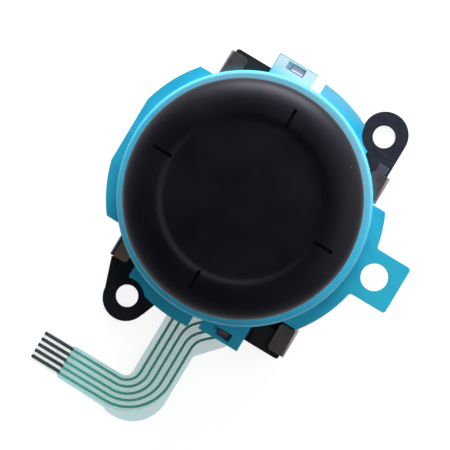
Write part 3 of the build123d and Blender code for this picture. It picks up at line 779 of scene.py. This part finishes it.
@dataclass
class ThumbCapLook:
    """Thumb cap, its core and the dust skirt."""

    skin: SoftSkin = SoftSkin()
    # The core has no lugs, so its painted lug highlight starts out of reach
    core: BlackMoulding = BlackMoulding(name="black_core", lug_highlight_from_mm=20.0)
    cap_radius: float = 8.63
    middle_high: float = 11.20
    dome_drop: float = 0.16
    dome_power: float = 1.5
    wall_from: float = 5.58
    wall_to: float = 6.22
    crown_high: float = 11.17
    side_high: float = 9.90
    roll_power: float = 2.0
    inside: tuple[Flat, ...] = (
        (8.63, 9.50), (8.43, 9.30), (7.60, 9.30), (7.60, 9.80),
        (7.25, 10.15), (6.22, 10.35), (5.42, 10.00), (0, 10.00),
    )
    dish_rings: int = 22
    wall_rings: int = 12
    crown_rings: int = 26
    round_steps: int = 144
    notches: int = 4
    notch: Solid = (1.58, 0.26, 0.62)
    notch_corner: float = 0.12
    notch_middle: float = 6.64
    notch_floor: float = 10.86

    def build(self) -> None:
        """Models the skin, cuts its notches and dresses the cap's pieces."""
        skin = self.turned_skin()
        for number in range(self.notches):
            self.cut_notch(skin, 360 / self.notches * number)
        Bench.smooth(skin, 38.0)
        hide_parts("thumb_cap")
        Bench.place(skin, self.skin.material(), Slot.SKIN, Body.STICK)
        black = self.core.material()
        for node in ("cap_core", "dust_skirt", "lever"):
            Bench.dress(frame["nodes"][node], black)

    def height(self, radius: float) -> float:
        """Height of the skin's face: a faint dome, a short wall and a crown that rolls over.

        Args:
            radius: Distance from the stick's axis.

        Returns:
            The height above the table in millimetres.
        """
        if radius > self.wall_to:
            share = (radius - self.wall_to) / (self.cap_radius - self.wall_to)
            roll = (1 - min(1.0, share) ** self.roll_power) ** (1 / self.roll_power)
            return self.side_high + (self.crown_high - self.side_high) * roll
        foot = self.middle_high - self.dome_drop
        if radius > self.wall_from:
            share = (radius - self.wall_from) / (self.wall_to - self.wall_from)
            return foot + (self.crown_high - foot) * share * share * (3 - 2 * share)
        share = (radius / self.wall_from) ** self.dome_power
        return self.middle_high - self.dome_drop * math.sin(math.pi / 2 * share) ** 2

    def turned_skin(self) -> Object:
        """Draws the half section of the skin and spins it round the axis.

        Returns:
            The closed skin, still without notches.
        """
        radii = [self.wall_from * step / self.dish_rings for step in range(1, self.dish_rings + 1)]
        for step in range(1, self.wall_rings + 1):
            radii.append(self.wall_from + (self.wall_to - self.wall_from) * step / self.wall_rings)
        for step in range(1, self.crown_rings + 1):
            share = math.sin(math.pi / 2 * step / self.crown_rings)
            radii.append(self.wall_to + (self.cap_radius - self.wall_to) * share)
        section = [(radius, self.height(radius)) for radius in radii] + list(self.inside)
        Bench.clear()
        bpy.ops.mesh.primitive_plane_add(size=0.1 * MM, location=(0, 0, self.height(0) * MM))
        skin = bpy.context.object
        skin.name = "thumb_skin"
        Bench.settle(skin)
        bpy.ops.object.mode_set(mode="EDIT")
        bpy.ops.mesh.select_mode(type="VERT")
        bpy.ops.mesh.select_all(action="SELECT")
        bpy.ops.mesh.merge(type="CENTER")
        here = (0.0, self.height(0))
        for there in section:
            way = ((there[0] - here[0]) * MM, 0, (there[1] - here[1]) * MM)
            bpy.ops.mesh.extrude_vertices_move(TRANSFORM_OT_translate={"value": way})
            here = there
        bpy.ops.mesh.select_all(action="SELECT")
        bpy.ops.mesh.spin(steps=self.round_steps, angle=math.tau, center=(0, 0, 0),
                          axis=(0, 0, 1))
        bpy.ops.mesh.select_all(action="SELECT")
        bpy.ops.mesh.remove_doubles(threshold=WELD)
        bpy.ops.mesh.normals_make_consistent(inside=False)
        bpy.ops.object.mode_set(mode="OBJECT")
        return skin

    def cut_notch(self, skin: Object, degrees: float) -> None:
        """Cuts one short notch across the crown.

        Args:
            skin: The skin that is cut.
            degrees: Direction of the notch from +X.
        """
        turn = math.radians(degrees)
        middle = (self.notch_middle * math.cos(turn), self.notch_middle * math.sin(turn),
                  self.notch_floor + self.notch[2] / 2)
        cutter = Bench.slab("notch_cutter", middle, self.notch, degrees)
        Bench.round_uprights(cutter, self.notch_corner)
        Bench.modifier(skin, "BOOLEAN", operation="DIFFERENCE", solver="EXACT", object=cutter)
        Bench.hold(cutter)
        bpy.ops.object.delete()


@dataclass
class CoverLook:
    """Blue cover with its rim, square ear and clips."""

    finish: BlueMoulding = BlueMoulding()
    edge_mm: float = 0.07
    skin_level: float = 4.50
    skin_high: float = 0.05
    skin_edge: float = 0.012
    windows: tuple[tuple[str, Flat, Flat], ...] = (
        ("back_window_skin", (-1.425, 9.91), (1.09, 0.62)),
        ("front_window_skin", (3.70, -9.24), (0.96, 0.60)),
    )

    def build(self) -> None:
        """Rounds the edges of the cover, dresses it and adds the skins of its two windows."""
        blue = self.finish.material()
        cover = Bench.softened("housing", "cover_shell", self.edge_mm, limit=42.0)
        Bench.place(cover, blue, Slot.BLUE)
        for name, middle, size in self.windows:
            self.window_skin(name, middle, size, blue)

    def window_skin(self, name: str, middle: Flat, size: Flat, blue: Material) -> None:
        """Models the thin skin of plastic left at the foot of a window, tight round the lug.

        Args:
            name: Name of the piece.
            middle: Middle of the window.
            size: Its length along X and Y.
            blue: Material of the cover.
        """
        skin = Bench.slab(name, (*middle, self.skin_level), (*size, self.skin_high))
        Bench.modifier(skin, "BEVEL", width=self.skin_edge * MM, segments=1, limit_method="ANGLE")
        Bench.smooth(skin)
        Bench.place(skin, blue, Slot.BLUE)


@dataclass
class FrameLook:
    """Black moulded frame under the cover."""

    finish: BlackMoulding = BlackMoulding()
    edge_mm: float = 0.05

    def build(self) -> None:
        """Rounds the edges of the frame and dresses it."""
        tray = Bench.softened("frame", "frame_tray", self.edge_mm, 1)
        Bench.place(tray, self.finish.material(), Slot.BLACK)


@dataclass
class SteelBaseLook:
    """Steel base plate with ears and folded tabs, and the coined step beside the back ear, whose
    brighter colour is a painted highlight.
    """

    finish: PlatedSteel = PlatedSteel()
    edge_mm: float = 0.05
    step_spot: Flat = (7.45, 6.90)
    step_size: Flat = (0.80, 0.62)
    step_high: float = 0.05
    step_inset: float = 0.04
    step_edge: float = 0.02
    plate_top: float = 0.30
    # Brighter steel of the step: a painted highlight for the light it reflects
    step_highlight_finish: PlatedSteel = PlatedSteel(name="step_steel_painted_highlight", sheet=linear(158, 158, 188))

    def build(self) -> None:
        """Rounds the cut edges of the plate and adds the coined step."""
        plate = Bench.softened("base_plate", "base_plate_pressing", self.edge_mm)
        Bench.place(plate, self.finish.material(), Slot.STEEL)
        self.coined_step()

    def coined_step(self) -> None:
        """Models the low step on the neck of the back ear, whose brighter colour is a painted
        highlight.
        """
        middle = (*self.step_spot, self.plate_top + self.step_high / 2)
        step = Bench.slab("coined_step", middle, (*self.step_size, self.step_high))
        top = (self.plate_top + self.step_high) * MM
        Bench.pick(step, "FACE", lambda middle: middle.z > top - NEAR)
        bpy.ops.mesh.inset(thickness=self.step_inset * MM)
        bpy.ops.object.mode_set(mode="OBJECT")
        Bench.modifier(step, "BEVEL", width=self.step_edge * MM, segments=2, limit_method="ANGLE")
        Bench.smooth(step)
        Bench.place(step, self.step_highlight_finish.material(), Slot.STEEL)


@dataclass(frozen=True)
class Run:
    """One printed run: along X, round the corner, along Y, and a last turn to the right."""

    row: float
    column: float
    turn_start: float
    turn_radius: float
    turn_degrees: float
    last_length: float


@dataclass
class FilmCircuitLook:
    """Film circuit with its printed runs, fingers, cover print, carbon tracks and stiffener."""

    film_top: float = 0.45
    run_start: float = -5.30
    bend_middle: float = -1.28
    run_wide: float = 0.20
    ink_high: float = 0.012
    finger_start: float = -7.61
    finger_length: float = 2.43
    finger_wide: float = 0.27
    finger_high: float = 0.022
    finger_end: float = 0.11
    finger_rows: tuple[float, ...] = (-16.10, -16.58, -17.05, -17.53, -18.01)
    runs: tuple[Run, ...] = (
        Run(-16.13, -0.08, -8.86, 0, 0, 0),
        Run(-16.61, 0.47, -8.86, 0, 0, 0),
        Run(-17.13, 1.02, -11.13, 1.90, 45, 1.30),
        Run(-17.60, 1.61, -11.49, 1.70, 45, 1.90),
        Run(-18.08, 2.19, -11.60, 1.50, 47, 1.95),
    )
    cover_run: Run = Run(-17.11, 1.05, -8.86, 0, 0, 0)
    cover_wide: float = 2.60
    cover_high: float = 0.007
    track_high: float = 0.010
    track_end: float = 0.18
    tracks: tuple[tuple[str, Flat, Flat], ...] = (
        ("carbon_track_right_1", (5.50, 0.0), (0.42, 5.4)),
        ("carbon_track_right_2", (6.20, 0.0), (0.42, 5.4)),
        ("carbon_track_front_1", (0.0, -5.80), (5.4, 0.42)),
        ("carbon_track_front_2", (0.0, -6.50), (5.4, 0.42)),
        ("dome_pad", (0.0, 0.0), (1.1, 1.1)),
    )
    pressed_keep: float = 0.34

    def build(self) -> None:
        """Models the print of the film and dresses all its pieces."""
        nodes = frame["nodes"]
        Bench.dress(nodes["flex_circuit"], CircuitFilm().material())
        clear = ClearFilm().material()
        Bench.dress(nodes["tail_stiffener"], clear)
        dome_cover = Bench.pressed("dome_film", "dome_cover", self.film_top, self.pressed_keep)
        Bench.place(dome_cover, clear, Slot.CLEAR)
        traces = PrintedInk("trace_ink", linear(92, 196, 184), linear(108, 204, 192)).material()
        for number, run in enumerate(self.runs, start=1):
            self.ribbon(f"trace_{number}", run, self.run_wide, 0.002, self.ink_high, traces)
        cover_ink = PrintedInk("cover_print", linear(60, 236, 196), linear(84, 238, 204),
                               0.35, 0.18, self.film_top + 0.008).material()
        self.ribbon("cover_print", self.cover_run, self.cover_wide, 0.001, self.cover_high,
                    cover_ink)
        carbon = PrintedInk("finger_carbon", linear(66, 80, 82), linear(84, 100, 102),
                            0.45).material()
        self.fingers(carbon)
        self.carbon_tracks(carbon)

    def ribbon(self, name: str, run: Run, wide: float, gap: float, high: float,
               ink: Material) -> None:
        """Models one printed run: a strip extruded, spun round the corner and extruded again.

        Args:
            name: Name of the piece.
            run: Path of the run.
            wide: Width in millimetres.
            gap: Height of its underside above the film.
            high: Thickness of the print.
            ink: Material of the print.
        """
        Bench.clear()
        level = self.film_top + gap
        first = 0.10
        bpy.ops.mesh.primitive_plane_add(
            size=1, location=Vector((self.run_start + first / 2, run.row, level)) * MM
        )
        strip = bpy.context.object
        strip.name = name
        strip.scale = (first * MM, wide * MM, 1)
        Bench.settle(strip)
        front = (self.run_start + first) * MM
        Bench.pick(strip, "EDGE", lambda middle: middle.x > front - NEAR)
        self.push((self.bend_middle - self.run_start - first, 0))
        radius = run.column - self.bend_middle
        corner = run.row + radius
        self.turn((self.bend_middle, corner), level, 90)
        self.push((0, run.turn_start - corner))
        if run.turn_degrees:
            self.turn((run.column + run.turn_radius, run.turn_start), level, -run.turn_degrees)
            heading = math.radians(90 - run.turn_degrees)
            self.push((run.last_length * math.cos(heading),
                       run.last_length * math.sin(heading)))
        bpy.ops.mesh.select_all(action="SELECT")
        bpy.ops.mesh.remove_doubles(threshold=0.001 * MM)
        bpy.ops.mesh.normals_make_consistent(inside=False)
        bpy.ops.object.mode_set(mode="OBJECT")
        if strip.data.polygons[0].normal.z < 0:
            strip.data.flip_normals()
        Bench.modifier(strip, "SOLIDIFY", thickness=high * MM, offset=1.0)
        Bench.smooth(strip, 30)
        Bench.place(strip, ink, Slot.FILM)

    @staticmethod
    def push(way: Flat) -> None:
        """Extrudes the selected edge along X and Y, in millimetres."""
        move = {"value": (way[0] * MM, way[1] * MM, 0)}
        bpy.ops.mesh.extrude_edges_move(TRANSFORM_OT_translate=move)

    @staticmethod
    def turn(middle: Flat, level: float, degrees: float) -> None:
        """Spins the selected edge round an upright axis.

        Args:
            middle: Place of the axis in millimetres.
            level: Height of the strip.
            degrees: Angle, positive to the left.
        """
        bpy.ops.mesh.spin(
            steps=max(4, round(abs(degrees) / 5)), angle=math.radians(-degrees),
            center=(middle[0] * MM, middle[1] * MM, level * MM), axis=(0, 0, 1),
        )

    def fingers(self, carbon: Material) -> None:
        """Models one contact finger with rounded ends and copies it to its rows.

        Args:
            carbon: Material of the print.
        """
        first_row = self.finger_rows[0]
        middle = (self.finger_start + self.finger_length / 2, first_row, self.film_top + 0.012)
        size = (self.finger_length, self.finger_wide, self.finger_high)
        fingers = [Bench.slab("contact_finger_1", middle, size)]
        Bench.round_uprights(fingers[0], self.finger_end)
        for number, row in enumerate(self.finger_rows[1:], start=2):
            Bench.hold(fingers[0])
            bpy.ops.object.duplicate()
            finger = bpy.context.object
            finger.name = f"contact_finger_{number}"
            finger.location = (0, (row - first_row) * MM, 0)
            Bench.settle(finger)
            fingers.append(finger)
        for finger in fingers:
            Bench.smooth(finger)
            Bench.place(finger, carbon, Slot.FILM)

    def carbon_tracks(self, carbon: Material) -> None:
        """Models the carbon tracks under the two sliders and the pad under the dome.

        Args:
            carbon: Material of the print.
        """
        for name, middle, size in self.tracks:
            track = Bench.slab(name, (*middle, self.film_top + 0.006), (*size, self.track_high))
            Bench.round_uprights(track, self.track_end)
            Bench.smooth(track)
            Bench.place(track, carbon, Slot.FILM)


@dataclass
class MechanismLook:
    """Rockers, hub, sliders, wipers, spring, spring seat and snap dome."""

    soft_parts: tuple[tuple[str, str, float, float], ...] = (
        ("return_spring", "spring_coil", 0.80, 0.675),
        ("click_dome", "snap_dome", 0.45, 0.34),
    )

    def build(self) -> None:
        """Dresses the nodes of the mechanism."""
        nodes = frame["nodes"]
        acetal = Acetal().material()
        spring = BrightMetal("spring_steel", linear(196, 196, 192),
                             linear(160, 160, 158)).material()
        gilt = BrightMetal("gilt_leaf", linear(232, 196, 120), linear(206, 164, 88),
                           0.2).material()
        for material, names in (
            (acetal, ("ring_rocker", "pivot_hub", "arch_rocker", "slider_x", "slider_y")),
            (spring, ("spring_seat",)),
            (gilt, ("wiper_x", "wiper_y")),
        ):
            for name in names:
                Bench.dress(nodes[name], material)
        for node, name, foot, keep in self.soft_parts:
            Bench.place(Bench.pressed(node, name, foot, keep), spring, Slot.SPRING)


@dataclass
class Studio:
    """Pale floor, soft lamps, even surroundings and the photograph's camera."""

    camera_spot: Solid = (6.34, 6.16, 320.0)
    camera_turn: Solid = (-0.714, 1.824, 30.981)
    lens: float = 348.67
    sensor: float = 36.0
    floor_half: float = 900.0
    floor_low: float = -0.02
    floor_grey: float = 0.40
    floor_glow: float = 0.86
    lamp_turn: float = 105.0
    lamp_rise: float = 20.0
    lamp_far: float = 400.0
    lamp_size: float = 210.0
    lamp_wide: float = 320.0
    lamp_power: float = 2.55
    fill_turn: float = 28.0
    fill_rise: float = 46.0
    fill_size: float = 360.0
    fill_wide: float = 360.0
    fill_power: float = 0.40
    sky_fall: tuple[float, ...] = (0.30, 0.97, 0.50, 0.02)
    wash_wide: tuple[float, ...] = (-0.40, 0.92, 0.0, 2.3)
    wash_fall: tuple[float, ...] = (0.10, 0.52, 1.0, 0.0)

    def build(self) -> None:
        """Builds floor, surroundings, lamps and camera."""
        self.floor()
        self.surroundings()
        self.lamps()
        self.camera()
        bpy.context.scene.view_settings.view_transform = "Standard"

    def floor(self) -> None:
        """Lays the floor: white to the camera where it is lit, with the shadow kept."""
        Bench.clear()
        bpy.ops.mesh.primitive_plane_add(
            size=2 * self.floor_half * MM, location=(0, 0, self.floor_low * MM)
        )
        floor = bpy.context.object
        floor.name = "studio_floor"
        material = bpy.data.materials.new("studio_floor")
        material.use_nodes = True
        tree = material.node_tree
        tree.nodes.clear()
        paths = add_node(tree, "ShaderNodeLightPath").outputs
        seen = add_node(tree, "ShaderNodeMath", paths["Is Camera Ray"],
                        paths["Is Transmission Ray"], operation="MAXIMUM").outputs[0]
        through = add_node(tree, "ShaderNodeMath", seen, paths["Is Glossy Ray"],
                           operation="MAXIMUM").outputs[0]
        level = add_node(tree, "ShaderNodeMath", through, self.floor_glow,
                         operation="MULTIPLY").outputs[0]
        grey = (self.floor_grey, self.floor_grey, self.floor_grey, 1)
        diffuse = add_node(tree, "ShaderNodeBsdfDiffuse", grey).outputs[0]
        glow = add_node(tree, "ShaderNodeEmission", None, level).outputs[0]
        both = add_node(tree, "ShaderNodeAddShader", diffuse, glow).outputs[0]
        add_node(tree, "ShaderNodeOutputMaterial", both)
        Bench.dress(floor, material)

    def surroundings(self) -> None:
        """Sets the surroundings: white to the camera, dim above, brightest on the lamp's side."""
        world = bpy.data.worlds.new("studio")
        bpy.context.scene.world = world
        world.use_nodes = True
        tree = world.node_tree
        tree.nodes.clear()

        def ease(value: NodeSocket, stretch: tuple[float, ...]) -> NodeSocket:
            """Maps a value by a stretch: from low, from high, to low, to high."""
            return add_node(tree, "ShaderNodeMapRange", value, *stretch,
                            interpolation_type="SMOOTHSTEP").outputs[0]

        def join(kind: str, operation: str, first: NodeSocket, second: object = None) -> Node:
            """Adds a Math or Vector Math node."""
            return add_node(tree, f"ShaderNode{kind}", first, second, operation=operation)

        place = add_node(tree, "ShaderNodeTexCoord").outputs["Generated"]
        height = add_node(tree, "ShaderNodeSeparateXYZ", place).outputs["Z"]
        flat = join("VectorMath", "MULTIPLY", place, (1, 1, 0)).outputs[0]
        level = join("VectorMath", "NORMALIZE", flat).outputs[0]
        turn = math.radians(self.lamp_turn)
        toward = (math.cos(turn), math.sin(turn), 0.0)
        facing = join("VectorMath", "DOT_PRODUCT", level, toward).outputs["Value"]
        wide, low = ease(facing, self.wash_wide), ease(height, self.wash_fall)
        wash = join("Math", "MULTIPLY", wide, low).outputs[0]
        sky = join("Math", "ADD", ease(height, self.sky_fall), wash).outputs[0]
        seen = add_node(tree, "ShaderNodeLightPath").outputs["Is Camera Ray"]
        strength = add_node(tree, "ShaderNodeMix", seen, None, sky, 1.0).outputs[0]
        background = add_node(tree, "ShaderNodeBackground", None, strength).outputs[0]
        add_node(tree, "ShaderNodeOutputWorld", background)

    def lamps(self) -> None:
        """Hangs a large soft lamp towards the top of the picture and a weak one opposite."""
        key = self.spot(self.lamp_turn, self.lamp_rise)
        fill = self.spot(self.fill_turn, self.fill_rise)
        self.lamp("key_lamp", key, (self.lamp_wide, self.lamp_size), self.lamp_power)
        self.lamp("fill_lamp", fill, (self.fill_wide, self.fill_size), self.fill_power)

    def spot(self, turn: float, rise: float) -> Solid:
        """Place of a lamp.

        Args:
            turn: Degrees from +X, to the left.
            rise: Degrees above the floor.

        Returns:
            The place in millimetres.
        """
        level = self.lamp_far * math.cos(math.radians(rise))
        return (
            level * math.cos(math.radians(turn)),
            level * math.sin(math.radians(turn)),
            self.lamp_far * math.sin(math.radians(rise)),
        )

    @staticmethod
    def lamp(name: str, spot: Solid, size: Flat, power: float) -> None:
        """Adds an oblong area lamp that faces the object.

        Args:
            name: Name of the lamp.
            spot: Place in millimetres.
            size: Width and height in millimetres.
            power: Power in watts.
        """
        Bench.clear()
        bpy.ops.object.light_add(type="AREA", location=Vector(spot) * MM)
        lamp = bpy.context.object
        lamp.name = name
        lamp.data.shape = "RECTANGLE"
        lamp.data.size, lamp.data.size_y = size[0] * MM, size[1] * MM
        lamp.data.energy = power
        lamp.rotation_euler = (-Vector(spot)).to_track_quat("-Z", "Y").to_euler()

    def camera(self) -> None:
        """Sets the camera at the photograph's viewing angle."""
        Bench.clear()
        bpy.ops.object.camera_add(
            location=Vector(self.camera_spot) * MM,
            rotation=[math.radians(angle) for angle in self.camera_turn],
        )
        camera = bpy.context.object
        camera.name = "camera"
        camera.data.lens = self.lens
        camera.data.sensor_width = self.sensor
        bpy.context.scene.camera = camera


def main() -> None:
    """Builds every sub-assembly in order."""
    logging.basicConfig(level=logging.INFO, format="%(message)s")
    parts = (SteelBaseLook(), FilmCircuitLook(), FrameLook(), MechanismLook(), CoverLook(),
             ThumbCapLook(), Studio())
    for part in parts:
        part.build()
        log.info("%s done", type(part).__name__)
    Bench.clear()


if __name__ == "__main__":
    main()
